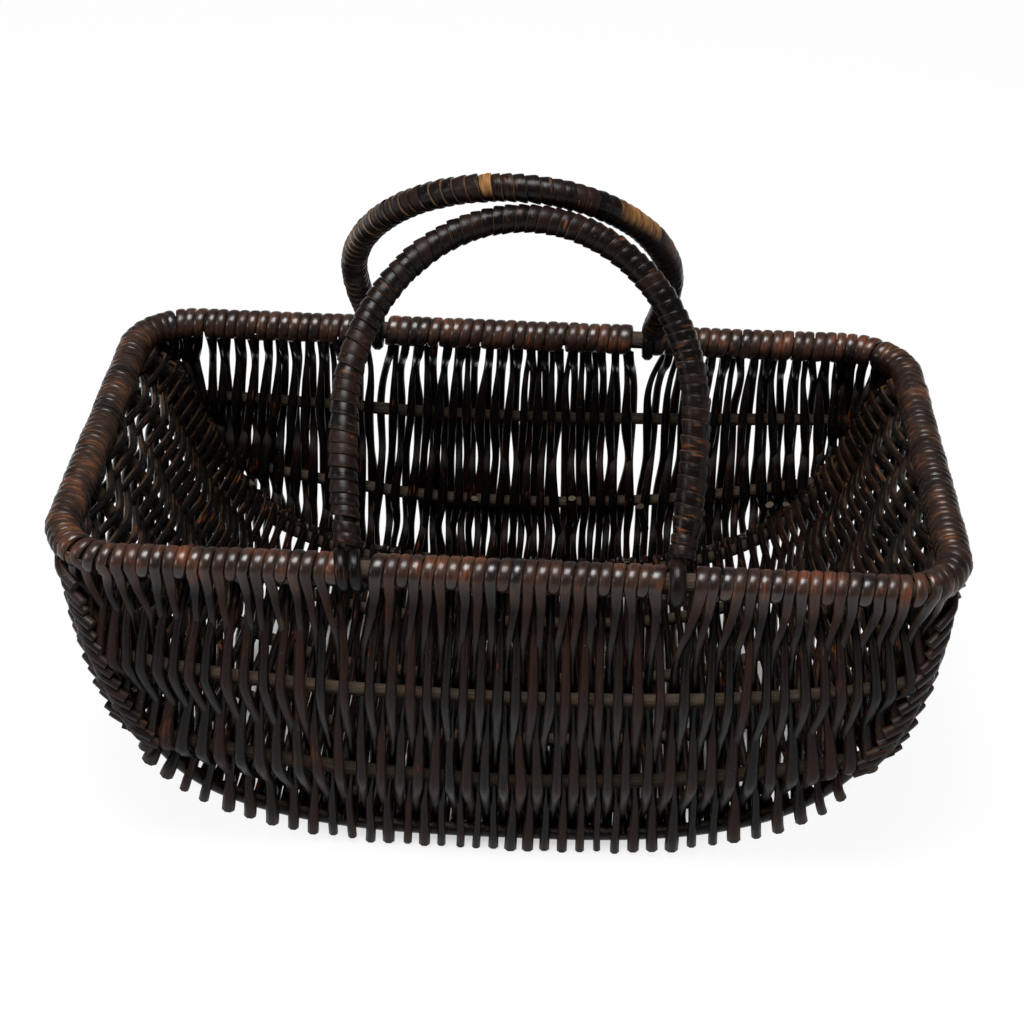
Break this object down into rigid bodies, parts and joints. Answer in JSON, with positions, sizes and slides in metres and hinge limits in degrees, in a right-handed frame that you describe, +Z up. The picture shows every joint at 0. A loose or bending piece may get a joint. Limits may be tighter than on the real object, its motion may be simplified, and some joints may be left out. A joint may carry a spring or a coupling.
{
  "type": "willow basket",
  "caption": "Rectangular open willow basket with D-shaped long walls, a floor that curves up into both ends, a bound rim and a pair of arched handles that swing on it.",
  "frame": {"origin": "on the ground under the middle of the basket's outer box, where the cut rod ends of both long walls stand", "axes": "+X along the basket's length to the right, -Y to the front long wall, +Z up"},
  "size_m": [0.4486, 0.2818, 0.3169],
  "materials": {
    "varnished_willow": "near-black brown varnish over round willow rods, glossy on the rods' crowns and worn red-brown in places",
    "weathered_willow": "grey-brown bare willow ribs and cores, matte",
    "bound_willow": "dark brown varnished willow strip bound side by side, glossy, with a few tan worn patches"
  },
  "bodies": {
    "basket": {"front_wall_weave": "varnished_willow", "back_wall_weave": "varnished_willow", "left_end_weave": "varnished_willow", "left_upper_bend_weave": "varnished_willow", "left_lower_bend_weave": "varnished_willow", "floor_weave": "varnished_willow", "right_lower_bend_weave": "varnished_willow", "right_upper_bend_weave": "varnished_willow", "right_end_weave": "varnished_willow", "front_upper_rib": "weathered_willow", "front_lower_rib": "weathered_willow", "front_edge_rib": "weathered_willow", "back_upper_rib": "weathered_willow", "back_lower_rib": "weathered_willow", "back_edge_rib": "weathered_willow", "floor_rib_1": "weathered_willow", "floor_rib_2": "weathered_willow", "floor_rib_3": "weathered_willow", "floor_rib_4": "weathered_willow", "floor_rib_5": "weathered_willow", "rim_rod": "weathered_willow", "front_middle_rim_wrap": "bound_willow", "front_right_rim_wrap": "bound_willow", "right_rim_wrap": "bound_willow", "back_right_rim_wrap": "bound_willow", "back_middle_rim_wrap": "bound_willow", "back_left_rim_wrap": "bound_willow", "left_rim_wrap": "bound_willow", "front_left_rim_wrap": "bound_willow"},
    "front_handle": {"front_handle_core": "weathered_willow", "front_handle_wrap": "bound_willow", "front_handle_left_binding": "bound_willow", "front_handle_right_binding": "bound_willow"},
    "back_handle": {"back_handle_core": "weathered_willow", "back_handle_wrap": "bound_willow", "back_handle_left_binding": "bound_willow", "back_handle_right_binding": "bound_willow"}
  },
  "joints": [
    {"name": "front_handle_swing", "type": "hinge", "parent": "basket", "child": "front_handle", "pos_m": [0.004, -0.1185, 0.167], "axis": [1, 0, 0], "range_deg": [0, 165]},
    {"name": "back_handle_swing", "type": "hinge", "parent": "basket", "child": "back_handle", "pos_m": [-0.005, 0.1185, 0.167], "axis": [-1, 0, 0], "range_deg": [0, 163]}
  ]
}
